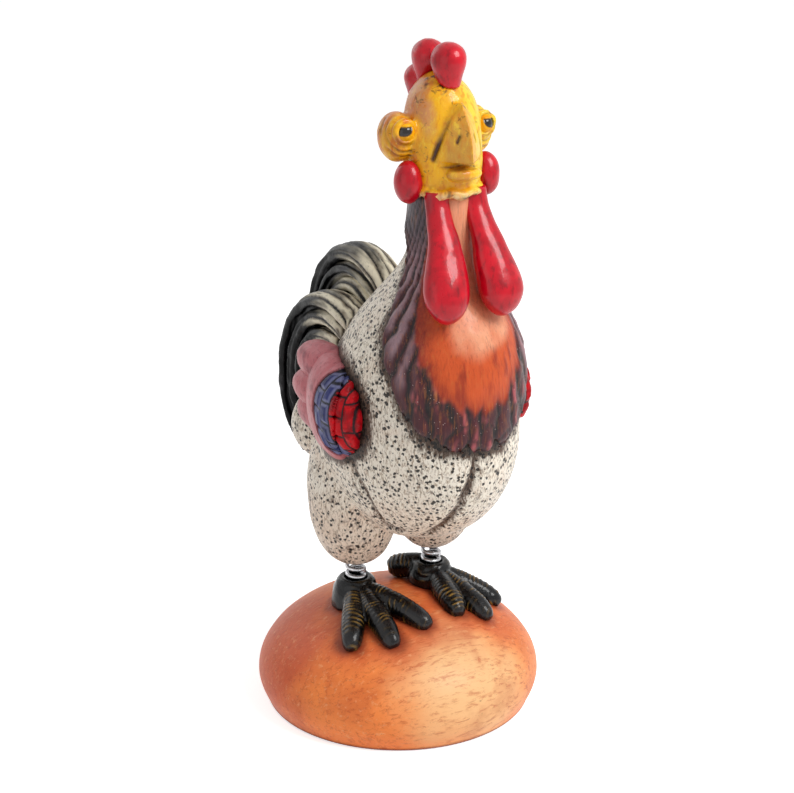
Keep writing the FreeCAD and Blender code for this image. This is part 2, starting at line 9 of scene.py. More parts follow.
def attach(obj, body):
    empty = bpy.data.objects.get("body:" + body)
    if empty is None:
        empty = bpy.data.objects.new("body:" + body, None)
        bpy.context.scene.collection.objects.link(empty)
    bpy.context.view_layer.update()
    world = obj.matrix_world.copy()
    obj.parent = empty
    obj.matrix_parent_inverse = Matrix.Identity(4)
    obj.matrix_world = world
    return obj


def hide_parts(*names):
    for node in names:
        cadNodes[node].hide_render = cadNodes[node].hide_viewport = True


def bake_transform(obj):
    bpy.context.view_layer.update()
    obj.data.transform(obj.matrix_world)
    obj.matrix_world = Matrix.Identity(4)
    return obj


# A painted rooster figurine on two coil-spring legs. Sizes are in millimetres until they go into a mesh.
mm = 0.001
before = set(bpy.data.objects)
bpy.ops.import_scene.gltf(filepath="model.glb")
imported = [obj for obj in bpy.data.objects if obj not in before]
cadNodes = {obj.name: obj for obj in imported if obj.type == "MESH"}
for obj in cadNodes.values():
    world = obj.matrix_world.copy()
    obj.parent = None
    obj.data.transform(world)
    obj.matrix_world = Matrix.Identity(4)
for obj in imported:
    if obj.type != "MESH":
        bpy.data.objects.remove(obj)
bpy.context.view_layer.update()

camera = {"place": (-328.6, -618.1, 366.2), "aim": (-0.31, 0.16, 121.6), "lens": 89.69, "sensor": 36}


def linked(name, data):
    obj = bpy.data.objects.new(name, data)
    bpy.context.scene.collection.objects.link(obj)
    return obj


def addCamera():
    data = bpy.data.cameras.new("photoCamera")
    data.lens = camera["lens"]
    data.sensor_width = camera["sensor"]
    obj = linked("photoCamera", data)
    obj.location = Vector(camera["place"]) * mm
    way = Vector(camera["aim"]) - Vector(camera["place"])
    obj.rotation_euler = way.to_track_quat("-Z", "Y").to_euler()
    bpy.context.scene.camera = obj


addCamera()
print("camera is set")


class Wire:
    def __init__(self, tree, socket):
        self.tree, self.socket = tree, socket

    def sum(self, operation, *values):
        node = self.tree.nodes.new("ShaderNodeMath")
        node.operation = operation
        for place, value in zip(node.inputs, values):
            plug(self.tree, place, value)
        return Wire(self.tree, node.outputs[0])

    def __add__(self, other): return self.sum("ADD", self, other)
    def __radd__(self, other): return self.sum("ADD", other, self)
    def __sub__(self, other): return self.sum("SUBTRACT", self, other)
    def __rsub__(self, other): return self.sum("SUBTRACT", other, self)
    def __mul__(self, other): return self.sum("MULTIPLY", self, other)
    def __rmul__(self, other): return self.sum("MULTIPLY", other, self)
    def most(self, other): return self.sum("MAXIMUM", self, other)
    def least(self, other): return self.sum("MINIMUM", self, other)


def plug(tree, place, value):
    if isinstance(value, Wire):
        tree.links.new(value.socket, place)
    elif isinstance(value, tuple) and len(value) == 3 and place.type == "RGBA":
        place.default_value = (*value, 1)
    else:
        place.default_value = value


class Finish:
    def __init__(self, name):
        self.material = bpy.data.materials.new(name)
        self.material.use_nodes = True
        self.tree = self.material.node_tree
        self.shader = self.tree.nodes["Principled BSDF"]
        self.shader.inputs["Specular IOR Level"].default_value = 0.22
        self.coords = self.add("ShaderNodeTexCoord", out="Object")

    def add(self, kind, settings=None, sockets=None, out=0):
        node = self.tree.nodes.new(kind)
        for key, value in (settings or {}).items():
            setattr(node, key, value)
        for key, value in (sockets or {}).items():
            plug(self.tree, node.inputs[key], value)
        return Wire(self.tree, node.outputs[out])

    def mix(self, share, a, b):
        return self.add("ShaderNodeMix", {"data_type": "RGBA"}, {0: share, 6: a, 7: b}, 2)

    def attribute(self, name):
        return self.add("ShaderNodeAttribute", {"attribute_name": name}, out="Fac")

    def colour(self, name):
        return self.add("ShaderNodeAttribute", {"attribute_name": name}, out="Color")

    def noise(self, size, detail=3.0, rough=0.55, stretch=None, turn=(0, 0, 0), warp=0.0):
        place = self.coords
        if stretch:
            place = self.add("ShaderNodeMapping", None, {"Vector": place, "Rotation": turn, "Scale": stretch})
        return self.add("ShaderNodeTexNoise", None, {"Vector": place, "Scale": 1 / (size * mm), "Detail": detail,
                                                     "Roughness": rough, "Distortion": warp})

    def cells(self, size, randomness=1.0, place=None):
        return self.add("ShaderNodeTexVoronoi", None, {"Vector": place or self.coords, "Scale": 1 / (size * mm),
                                                       "Randomness": randomness}, "Distance")

    def between(self, value, low, high):
        return self.add("ShaderNodeMapRange", {"interpolation_type": "SMOOTHSTEP"},
                        {"Value": value, "From Min": low, "From Max": high})

    def set(self, **sockets):
        for key, value in sockets.items():
            plug(self.tree, self.shader.inputs[key.replace("_", " ")], value)

    def bump(self, height, distance, strength=1.0):
        normal = self.add("ShaderNodeBump", None, {"Height": height, "Distance": distance * mm,
                                                   "Strength": strength})
        plug(self.tree, self.shader.inputs["Normal"], normal)


def coordsOf(obj):
    co = np.zeros(len(obj.data.vertices) * 3, np.float32)
    obj.data.vertices.foreach_get("co", co)
    return co.reshape(-1, 3).astype(float) / mm


def setCoords(obj, co):
    obj.data.vertices.foreach_set("co", (co * mm).astype(np.float32).ravel())
    obj.data.update()


def normalsOf(obj):
    no = np.zeros(len(obj.data.vertices) * 3, np.float32)
    obj.data.vertex_normals.foreach_get("vector", no)
    return no.reshape(-1, 3).astype(float)


def paint(obj, name, values):
    layer = obj.data.attributes.new(name, "FLOAT", "POINT")
    layer.data.foreach_set("value", np.asarray(values, np.float32))


def paintColour(obj, name, rgb):
    layer = obj.data.attributes.new(name, "FLOAT_COLOR", "POINT")
    rgba = np.concatenate([rgb, np.ones((len(rgb), 1))], 1)
    layer.data.foreach_set("color", rgba.astype(np.float32).ravel())


def grain(points, size, seed=0):
    p = np.asarray(points) / size + 31.7 * seed
    cell = np.floor(p)
    f = p - cell
    f = f * f * (3 - 2 * f)
    total = 0
    for corner in ((x, y, z) for x in (0, 1) for y in (0, 1) for z in (0, 1)):
        q = cell + corner
        value = np.sin(q[:, 0] * 127.1 + q[:, 1] * 311.7 + q[:, 2] * 74.7) * 43758.5453  # a hash of the place
        share = np.prod(np.where(np.array(corner) == 1, f, 1 - f), 1)
        total = total + (value - np.floor(value)) * share
    return total * 2 - 1


def cloud(points, size, seed=0, layers=3):
    return sum(grain(points, size / 2 ** i, seed + i) / 2 ** i for i in range(layers)) / 1.6


def ease(value, low, high):
    t = np.clip((value - low) / (high - low), 0, 1)
    return t * t * (3 - 2 * t)


def toPath(points, path):
    path = np.asarray(path, float)
    gap = np.full(len(points), np.inf)
    for a, b in zip(path, path[1:]):
        t = np.clip(((points - a) @ (b - a)) / ((b - a) @ (b - a)), 0, 1)
        gap = np.minimum(gap, np.linalg.norm(points - (a + t[:, None] * (b - a)), axis=1))
    return gap


def near(gap, width):
    # 1 on a line and fading over about its width
    return np.exp(-(gap / width) ** 2)


def shade(red, green, blue):
    return tuple(((c / 255 + 0.055) / 1.055) ** 2.4 if c > 10 else c / 255 / 12.92 for c in (red, green, blue))


def blendColours(base, colour, share):
    return base + (np.array(colour) - base) * np.clip(share, 0, 1)[:, None]


def meshPiece(name, verts, faces):
    mesh = bpy.data.meshes.new(name)
    mesh.from_pydata([tuple(v) for v in np.asarray(verts) * mm], [], faces)
    mesh.validate()
    mesh.shade_smooth()
    return linked(name, mesh)


def fromBuild(name, bm):
    mesh = bpy.data.meshes.new(name)
    bm.to_mesh(mesh)
    bm.free()
    return linked(name, mesh)


def applied(obj):
    plain = bpy.data.meshes.new_from_object(obj.evaluated_get(bpy.context.evaluated_depsgraph_get()))
    obj.modifiers.clear()
    old = obj.data
    obj.data = plain
    bpy.data.meshes.remove(old)
    plain.name = obj.name
    plain.shade_smooth()
    return obj


def fused(name, nodes, voxel, smooth, others=()):
    # one skin over CAD nodes and helper shapes, evened out a little
    bm = bmesh.new()
    for node in nodes:
        bm.from_mesh(cadNodes[node].data)
    for obj in others:
        bm.from_mesh(obj.data)
        bpy.data.objects.remove(obj)
    bmesh.ops.remove_doubles(bm, verts=bm.verts, dist=1e-6)
    obj = fromBuild(name, bm)
    skin = obj.modifiers.new("skin", "REMESH")
    skin.mode = "VOXEL"
    skin.voxel_size = voxel * mm
    skin.use_smooth_shade = True
    relax = obj.modifiers.new("relax", "SMOOTH")
    relax.iterations = smooth
    relax.factor = 0.5
    return applied(obj)


def keepOuter(obj):
    # drops the skin of the hollow inside
    bm = bmesh.new()
    bm.from_mesh(obj.data)
    left, shells = set(bm.verts), []
    while left:
        start = left.pop()
        shell, queue = {start}, [start]
        while queue:
            for edge in queue.pop().link_edges:
                for vert in edge.verts:
                    if vert in left:
                        left.discard(vert)
                        shell.add(vert)
                        queue.append(vert)
        shells.append(shell)
    outer = max(shells, key=lambda s: max(v.co.z for v in s) - min(v.co.z for v in s))
    bmesh.ops.delete(bm, geom=[v for v in bm.verts if v not in outer], context="VERTS")
    bm.to_mesh(obj.data)
    bm.free()
    return obj


def hollows(obj, rounds):
    # how far the skin lies below its own smoothed copy, in mm
    co, no = coordsOf(obj), normalsOf(obj)
    edges = np.zeros(len(obj.data.edges) * 2, np.int32)
    obj.data.edges.foreach_get("vertices", edges)
    a, b = edges.reshape(-1, 2).T
    count = np.bincount(np.concatenate([a, b]), minlength=len(co))[:, None]
    soft = co.copy()
    for _ in range(rounds):
        total = np.zeros_like(soft)
        np.add.at(total, a, soft[b])
        np.add.at(total, b, soft[a])
        soft += (total / np.maximum(count, 1) - soft) / 2
    return np.sum((soft - co) * no, 1)


def push(obj, depth):
    setCoords(obj, coordsOf(obj) + normalsOf(obj) * np.asarray(depth)[:, None])


def finishPiece(obj, finish, body, slot, *nodes):
    obj.data.materials.clear()
    obj.data.materials.append(finish.material)
    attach(obj, body)
    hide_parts(*nodes)


def nodesWith(word):
    return sorted(name for name in cadNodes if word in name)


def gapTo(points, word):
    # distance to the nearest mesh point of the nodes that have this word in their names
    others = np.concatenate([np.array([v.co for v in cadNodes[name].data.vertices]) / mm for name in nodesWith(word)])
    tree = KDTree(len(others))
    for i, p in enumerate(others):
        tree.insert(p, i)
    tree.balance()
    return np.array([tree.find(p)[2] for p in points])


sides = {"right": -1, "left": 1}

base = {"around": 200, "edgeRows": 6, "sideRows": 14, "crownRows": 68, "radius": 54.5, "footRadius": 51.5,
        "widest": 11.0, "crown": 31.0, "edge": 1.6, "wobble": 0.35, "paleReach": 38, "roseReach": 46, "scuffReach": 15,
        "dirtReach": 4.5,
        # pale is the colour of the painted highlight and of pale brush strokes, rose that of the painted shade, mark
        # that of scratches and of the painted contact shade
        "orange": shade(252, 142, 70), "pale": shade(255, 200, 142), "rose": shade(206, 84, 50),
        "scuff": shade(192, 76, 34), "mark": shade(120, 38, 22), "paleSpot": (5, -45, 24), "roseSpot": (-48, 14, 22)}


def baseProfile():
    foot, edge, widest = base["footRadius"], base["edge"], base["widest"]
    points = [(0, 0), (foot - edge, 0)]
    for i in range(1, base["edgeRows"] + 1):
        turn = math.pi / 2 * i / base["edgeRows"]
        points.append((foot - edge * (1 - math.sin(turn)), edge * (1 - math.cos(turn))))
    for i in range(1, base["sideRows"] + 1):
        t = i / base["sideRows"]
        points.append((foot + (base["radius"] - foot) * math.sin(t * math.pi / 2), edge + t * (widest - edge)))
    for i in range(1, base["crownRows"] + 1):
        turn = math.pi / 2 * i / base["crownRows"]
        points.append((base["radius"] * math.cos(turn), widest + base["crown"] * math.sin(turn)))
    return points


def makeBase():
    n, profile = base["around"], baseProfile()
    verts, faces = [(0, 0, 0)], []
    for r, z in profile[1:-1]:
        verts += [(r * math.cos(2 * math.pi * i / n), r * math.sin(2 * math.pi * i / n), z) for i in range(n)]
    verts.append((0, 0, profile[-1][1]))
    rows, top = len(profile) - 2, len(verts) - 1
    for i in range(n):
        j = (i + 1) % n
        faces.append((0, 1 + j, 1 + i))
        for k in range(rows - 1):
            a = 1 + k * n
            faces.append((a + i, a + j, a + n + j, a + n + i))
        faces.append((1 + (rows - 1) * n + i, 1 + (rows - 1) * n + j, top))
    obj = meshPiece("paintedDome", verts, faces)
    co = coordsOf(obj)
    inside = base["radius"] - 0.5 - np.hypot(co[:, 0], co[:, 1])
    push(obj, -np.abs(cloud(co, 34, 3) * base["wobble"] * ease(co[:, 2], 2, 9) * ease(inside, 0, 3)))
    feet, loose = gapTo(co, "foot"), cloud(co, 9, 4)
    # painted highlight: a paler patch on the front of the dome, facing the key lamp
    pale = 1 - np.linalg.norm(co - base["paleSpot"], axis=1) / base["paleReach"] + 0.3 * cloud(co, 20, 8)
    # painted shade: darker, redder paint on the dome's side away from the key lamp and in a ring round the feet
    rosy = 1 - np.linalg.norm(co - base["roseSpot"], axis=1) / base["roseReach"] + 0.2 * loose
    paint(obj, "pale", ease(pale, 0, 0.7))
    paint(obj, "rosy", np.maximum(ease(rosy, 0, 0.6), 0.75 * ease(feet + 5 * loose, base["scuffReach"], 2)))
    # painted shade: darkest right round the feet and along the bottom rim, where the dome stands on the floor
    paint(obj, "dirt", np.maximum(0.8 * ease(feet + 2.5 * loose, base["dirtReach"], 0), ease(co[:, 2], 1.8, 0.6)))
    finishPiece(obj, domeFinish(), "base", "base_paint", "base_dome")


def domeFinish():
    f = Finish("brushedTerracotta")
    patches = f.noise(26, 4, warp=0.3)
    strokes = [f.noise(2.8, 6, 0.75, (0.3, 1.6, 1.6), turn, 0.5) for turn in ((0.5, 0.3, 0.6), (0.2, 0.9, -0.5))]
    fine = f.noise(0.9, 3, 0.6, (0.5, 1.5, 1.5), (0.4, 0.5, 0.3))
    scratch = f.noise(2.6, 9, 0.8, (0.6, 1.2, 1.8), (0.2, 0.5, 0.9), 1.6)
    # the painted highlight patch, in pale
    colour = f.mix(f.attribute("pale"), base["orange"], base["pale"])
    # the painted shade, in rose
    colour = f.mix(f.attribute("rosy") * 0.8, colour, base["rose"])
    colour = f.mix(f.between(patches, 0.5, 0.68) * 0.4, colour, base["scuff"])
    colour = f.mix(f.between(strokes[0], 0.50, 0.64) * 0.55, colour, base["scuff"])
    colour = f.mix(f.between(strokes[1], 0.46, 0.30) * 0.5, colour, base["pale"])
    colour = f.mix(f.between(scratch, 0.585, 0.64) * 0.5, colour, base["mark"])
    # the painted contact shade, in the dark mark colour, broken up by the scratch noise
    colour = f.mix((f.attribute("dirt") * (0.4 + 1.1 * scratch)).least(1.0), colour, base["mark"])
    f.set(Base_Color=colour, Roughness=0.34 + 0.3 * fine, Coat_Weight=0.15, Coat_Roughness=0.3)
    f.bump(strokes[0] * 0.6 + strokes[1] * 0.5 + fine * 0.35, 0.35, 0.8)
    return f


makeBase()
print("base is done")

body = {"voxel": 0.85, "plug": ((0, -32.5, 201), 7.0, 10),
        "centreCrease": [(-1.0, -61.0, 124.7), (-1.5, -60.8, 115.1), (-2.5, -59.8, 109.8), (-3.5, -59.2, 106.0),
                         (-5.3, -55.2, 97.3), (-7.0, -48.0, 88.7), (-8.5, -39.8, 82.8)],
        "thighCrease": [(33.2, -25.9, 110.2), (29.8, -29.2, 99.9), (25.6, -29.0, 91.2), (19.5, -28.1, 83.0),
                        (17.4, -32.0, 82.9)],
        "creaseDepth": 1.5, "creaseWidth": 1.9, "creaseWash": 2.3,
        "wingWash": 5.6, "capeWash": 4.6, "tailWash": 9.5, "warmBelow": (104, 82), "dotSpacing": 1.95, "dotSize": 0.38,
        "cream": shade(255, 245, 229), "warm": shade(238, 204, 178), "grey": shade(146, 118, 88),
        # the brown wash colour serves both random grime and the painted shade
        "ink": shade(14, 8, 6), "wash": shade(74, 48, 30)}


def neckPlug():
    # closes the neck, so that the hollow inside can be told from the outer skin
    bm = bmesh.new()
    place, radius, depth = body["plug"]
    bmesh.ops.create_cone(bm, cap_ends=True, segments=40, radius1=radius * mm, radius2=radius * mm, depth=depth * mm)
    bmesh.ops.translate(bm, verts=bm.verts, vec=Vector(place) * mm)
    return fromBuild("neckPlug", bm)


def makeBody():
    nodes = ["torso", "right_thigh", "left_thigh", "rump"]
    obj = keepOuter(fused("speckledBody", nodes, body["voxel"], 5, [neckPlug()]))
    co = coordsOf(obj)
    creases = [body["centreCrease"]]
    creases += [[(x * sign, y, z) for x, y, z in body["thighCrease"]] for sign in sides.values()]
    crease = np.min([toPath(co, path) for path in creases], 0)
    push(obj, 0.35 * cloud(co, 11, 5) - body["creaseDepth"] * near(crease, body["creaseWidth"]))
    rough = 1 + 0.55 * cloud(co, 6, 9)
    # painted shade: darkening along the creases, where the wings, cape and tail meet the body, and in the body's
    # hollows, with some brown wash
    dark = near(crease / rough, body["creaseWash"]) * (0.7 + 0.4 * cloud(co, 3.5, 4))
    for part in ("wing", "cape", "tail"):
        dark = np.maximum(dark, 0.95 * near(gapTo(co, part) / rough, body[part + "Wash"]))
    paint(obj, "wash", np.maximum(dark, 0.55 * ease(hollows(obj, 14), 0.25, 1.1)))
    low = ease(coordsOf(obj)[:, 2], *body["warmBelow"])
    paint(obj, "warmth", np.clip(0.35 * low + 0.35 * cloud(coordsOf(obj), 17, 2), 0, 1))
    finishPiece(obj, bodyFinish(), "rooster", "body_paint", *nodes)


def bodyFinish():
    f = Finish("speckledCream")
    shift = f.add("ShaderNodeTexNoise", None, {"Vector": f.coords, "Scale": 1000 / 1.3, "Detail": 3.0}, "Color")
    place = f.add("ShaderNodeVectorMath", {"operation": "MULTIPLY_ADD"}, {0: shift, 1: (0.0014,) * 3, 2: f.coords})
    drift = f.noise(5, 2, 0.5)
    cells = f.cells(body["dotSpacing"], 0.8, place)
    dots = f.between(cells - 0.3 * (drift - 0.4), body["dotSize"] - 0.07, body["dotSize"] - 0.13)
    hair = f.noise(1.0, 4, 0.7, (1.4, 1.4, 0.5), (0.25, 0.2, 0), 0.6)
    grime = f.noise(4.5, 6, 0.7, (1, 1, 0.7), warp=0.8)
    stain = f.noise(15, 5, 0.6, warp=0.5)
    wash = f.attribute("wash")
    colour = f.mix(f.attribute("warmth"), body["cream"], body["warm"])
    colour = f.mix(f.between(hair, 0.49, 0.62) * 0.75, colour, body["grey"])
    colour = f.mix(f.between(stain, 0.50, 0.72) * 0.3, colour, body["warm"])
    colour = f.mix(f.between(grime, 0.54, 0.66) * 0.7, colour, body["wash"])
    # painted shade and brown wash in the creases, hollows and where parts meet; the darkest of it goes to ink
    colour = f.mix(f.between(wash * 0.95 + hair * 1.3, 0.85, 1.35) * 0.95, colour, body["wash"])
    colour = f.mix(f.between(wash * 0.9 + hair * 0.9, 1.1, 1.4), colour, body["ink"])
    colour = f.mix(dots * 0.95, colour, body["ink"])
    f.set(Base_Color=colour, Roughness=0.36 + 0.25 * hair, Coat_Weight=0.2, Coat_Roughness=0.2)
    f.bump(0.9 * hair - 1.0 * dots + 0.4 * grime, 0.3, 0.9)
    return f


makeBody()
print("body is done")

cape = {"voxel": 0.75, "strands": 42, "ridge": 1.15, "frontRidge": 0.15, "rowStep": 11.0, "rowRise": 0.5, "sweep": 0.10,
        "axis": (-21.3, 142, 0.235), "bins": 120, "fadeOut": (207, 184), "paleSpot": (3, 163), "paleRadii": (15, 11),
        "edgeAngles": [0, 5, 12, 20, 28, 36, 44, 52, 60],
        "edgeHeights": [135.5, 136, 137.5, 142, 147.5, 155, 168, 186, 210],
        "orange": shade(208, 84, 36), "red": shade(142, 38, 22), "salmon": shade(240, 166, 128),
        "plum": shade(70, 24, 32), "rose": shade(190, 92, 98), "mauve": shade(164, 132, 140),
        "slate": shade(44, 44, 54), "ink": shade(14, 9, 12), "gold": shade(196, 120, 56), "fleck": shade(230, 204, 196)}


def capeAngle(co):
    # turn about the neck's leaning axis, 0 at the breast's middle
    y, z, lean = cape["axis"]
    return np.arctan2(co[:, 0], y - lean * (co[:, 2] - z) - co[:, 1])


def aboveHem(co, angle):
    # height over the cape's lower edge, found from the mesh itself
    count = cape["bins"]
    low = np.full(count, np.inf)
    np.minimum.at(low, np.clip(((angle + math.pi) / (2 * math.pi) * count).astype(int), 0, count - 1), co[:, 2])
    low = np.where(low == np.inf, 200, low)
    low = sum(np.roll(low, k) for k in (-2, -1, 0, 1, 2)) / 5
    spots = (np.arange(count) + 0.5) / count * 2 * math.pi - math.pi
    return co[:, 2] - np.interp(angle, spots, low, period=2 * math.pi)


def makeCape():
    obj = fused("hackleCape", ["hackle_cape"], cape["voxel"], 3)
    co = coordsOf(obj)
    angle = capeAngle(co)
    degrees = np.abs(np.degrees(angle))
    rise = aboveHem(co, angle)
    swept = np.sign(angle) * cape["sweep"] * ease(rise, 40, 0) * ease(degrees, 12, 50)
    lane = (angle - swept) / (2 * math.pi) * cape["strands"]
    lane += 0.45 * grain(co * (1, 1, 0.6), 11, 4) + 0.22 * grain(co, 4, 8)
    across = np.abs((lane - np.floor(lane)) * 2 - 1)  # 0 along a strand's middle, 1 in the groove
    edge = np.interp(degrees, cape["edgeAngles"], cape["edgeHeights"])
    edge = edge + 2.6 * cloud(co * (1, 1, 0.3), 5, 6) + 3.0 * (across - 0.5)
    orange = ease(co[:, 2] - edge, -1.8, 2.4)
    tone = cloud(co * (1, 1, 0.22), 2.2, 7)
    patch = cloud(co, 13, 2)
    strength = (1 - orange) * (0.55 + 0.45 * ease(degrees, 20, 45))
    groove = ease(across + 0.25 * tone, 0.60, 0.95) * (1 - orange)
    step = rise / cape["rowStep"] + 0.45 * across ** 2 + 0.5 * (np.floor(lane) % 2)
    tip = 1 - (step - np.floor(step))
    banded = ease(rise, 30, 22) * ease(degrees, 46, 30)
    height = strength * (cape["ridge"] * (0.5 - across ** 2) + cape["rowRise"] * (tip - 0.5) * banded + 0.3 * tone)
    height += orange * cape["frontRidge"] * (tone + 1.6 * patch)
    height -= 1.1 * ease(rise, 3.2, 0)
    height *= ease(co[:, 2], *cape["fadeOut"])
    push(obj, height)
    flank = ease(degrees * np.where(co[:, 0] < 0, 1, 0.55), 22, 42)
    # painted highlight: a pale salmon patch on the glossy breast, where the key lamp reflects
    off = (co[:, [0, 2]] - cape["paleSpot"]) / cape["paleRadii"]
    pale = ease(1 - np.hypot(*off.T) + 0.35 * patch, 0, 0.45)
    throat = ease(np.abs(co[:, 0]), 7, 2) * ease(co[:, 2], 166, 176)
    front = np.tile(cape["orange"], (len(co), 1))
    back = np.tile(cape["plum"], (len(co), 1))
    for name, share in (("red", 0.8 * flank + 0.7 * ease(tone, 0.1, 0.6)),
                        # the painted highlight patch in salmon; the second salmon share below is the throat's own
                        # colour
                        ("salmon", 0.95 * pale * (0.8 + 0.5 * tone)),
                        ("red", 0.55 * ease(co[:, 2] - edge, 8, 0)),
                        ("salmon", throat * (0.8 + 0.3 * tone))):
        front = blendColours(front, cape[name], share)
    vane = ease(0.85 - across + 0.5 * tone, 0.05, 0.6)
    # painted shade: ink in the grooves between strands, along the hem and under each row of feather tips
    dark = groove * 0.95 + 0.6 * ease(rise, 2.5, 0.2) + 0.7 * ease(tip, 0.2, 0.04) * banded
    # rose and mauve are the strands' own colours, laid along the ridges as painted highlight
    for name, share in (("rose", 0.8 * ease(tone + 0.6 * (0.6 - across), 0.25, 0.7) * ease(degrees, 66, 26)),
                        ("gold", 0.8 * ease(tone + 0.4 * patch, 0.45, 0.85) * ease(co[:, 2] - edge, -16, -3)),
                        ("mauve", ease(degrees, 32, 50) * vane * ease(rise, 2, 12)),
                        ("slate", 0.8 * ease(co[:, 2], 182, 198) * ease(degrees, 44, 60)),
                        ("ink", dark)):
        back = blendColours(back, cape[name], share)
    paintColour(obj, "tint", back + (front - back) * orange[:, None])
    paint(obj, "flecked", (1 - orange) * ease(degrees, 60, 45))
    finishPiece(obj, capeFinish(), "rooster", "cape_paint", "hackle_cape")


def capeFinish():
    f = Finish("hacklePaint")
    hair = f.noise(1.7, 5, 0.7, (1.8, 1.8, 0.22))
    patch = f.noise(7, 4, 0.6)
    flecks = f.between(f.cells(1.3), 0.13, 0.07) * f.attribute("flecked") * f.between(patch, 0.44, 0.54)
    colour = f.mix(f.between(hair, 0.48, 0.74) * 0.34, f.colour("tint"), cape["ink"])
    colour = f.mix(f.between(hair, 0.50, 0.30) * 0.28, colour, cape["gold"])
    colour = f.mix(flecks * 0.85, colour, cape["fleck"])
    f.set(Base_Color=colour, Roughness=0.3 + 0.25 * patch, Coat_Weight=0.2, Coat_Roughness=0.15)
    f.bump(hair * 0.8 + patch * 0.2, 0.28, 0.85)
    return f


makeCape()
print("cape is done")

face = {"voxel": 0.48, "eye": (16.3, -35.3, 230.1), "rings": [(4.6, 0.5), (6.6, 0.6), (9.0, 0.55)],
        "collar": ((0, -33.6, 209.2), (12.4, 13.2), 1.5), "collarParts": (72, 12), "farShift": 1.6,
        "ridge": [(0, -45.5, 240.5), (0, -50.8, 233.5), (0, -53.4, 227), (0, -54.4, 220.4)],
        "flank": [(4.9, -46.0, 234), (7.6, -44.8, 227), (9.2, -43.4, 220.6)], "root": [(5.5, -38, 238), (7, -38, 220)],
        "lip": ((0, -47.6, 216.2), (6.8, 3.8, 2.7)), "slit": (17.8, 231.3), "slitSize": (2.9, 2.3), "lidDrop": 0.5,
        "groove": [(1.4, -46.8, 239.6), (5.3, -45.9, 235.8), (7.3, -44.9, 230.5), (8.6, -43.8, 225.5),
                   (9.5, -42.8, 221.2)],
        "mouth": 218.6, "nostril": [(3.2, -49.5, 229.6), (3.9, -49.2, 227.6)],
        "yellow": shade(246, 180, 18), "orange": shade(220, 124, 4), "tan": shade(214, 154, 54),
        "pink": shade(212, 140, 96), "lemon": shade(253, 218, 66), "brown": shade(72, 36, 16),
        "cream": shade(248, 236, 196), "black": (0.004, 0.003, 0.003)}


def beakWedge():
    # the beak's flat-sided wedge, the lip under it and the rolled rim of the face
    bm = bmesh.new()
    spots = face["ridge"] + [(x * side, y, z) for side in (-1, 1) for x, y, z in face["flank"] + face["root"]]
    for spot in spots:
        bm.verts.new(Vector(spot) * mm)
    bmesh.ops.convex_hull(bm, input=bm.verts)
    place, radii = face["lip"]
    lip = bmesh.ops.create_uvsphere(bm, u_segments=32, v_segments=20, radius=1)["verts"]
    bmesh.ops.scale(bm, verts=lip, vec=Vector(radii) * mm)
    bmesh.ops.translate(bm, verts=lip, vec=Vector(place) * mm)
    place, (wide, deep), thick = face["collar"]
    (count, sectors), ring = face["collarParts"], []
    for i in range(count):
        turn = 2 * math.pi * i / count
        out = Vector((math.cos(turn), math.sin(turn), 0))
        middle = Vector(place) + Vector((wide * out.x, deep * out.y, 0.5 * math.sin(turn * 9)))
        ring.append([bm.verts.new((middle + thick * (out * math.cos(a) + Vector((0, 0, math.sin(a))))) * mm)
                     for a in (2 * math.pi * k / sectors for k in range(sectors))])
    for i, here in enumerate(ring):
        after = ring[(i + 1) % count]
        for k in range(sectors):
            beyond = (k + 1) % sectors
            bm.faces.new((here[k], after[k], after[beyond], here[beyond]))
    return fromBuild("beakWedge", bm)


def nearer(co):
    # the left eye sits a little closer in than the right one
    return co - np.outer(face["farShift"] * ease(co[:, 0], 10.5, 15), (1, 0, 0))


def lidded(points):
    # 1 on the eye's dark slit, which the upper lid cuts flat
    off = points[:, [0, 2]] - face["slit"]
    spread = np.hypot(*(off / face["slitSize"]).T)
    return ease(spread, 1.08, 0.92) * ease(off[:, 1], face["lidDrop"] + 0.25, face["lidDrop"] - 0.1)


def folded(co):
    # the same place on the left half
    return np.abs(co * (1, 0, 0)) + co * (0, 1, 1)


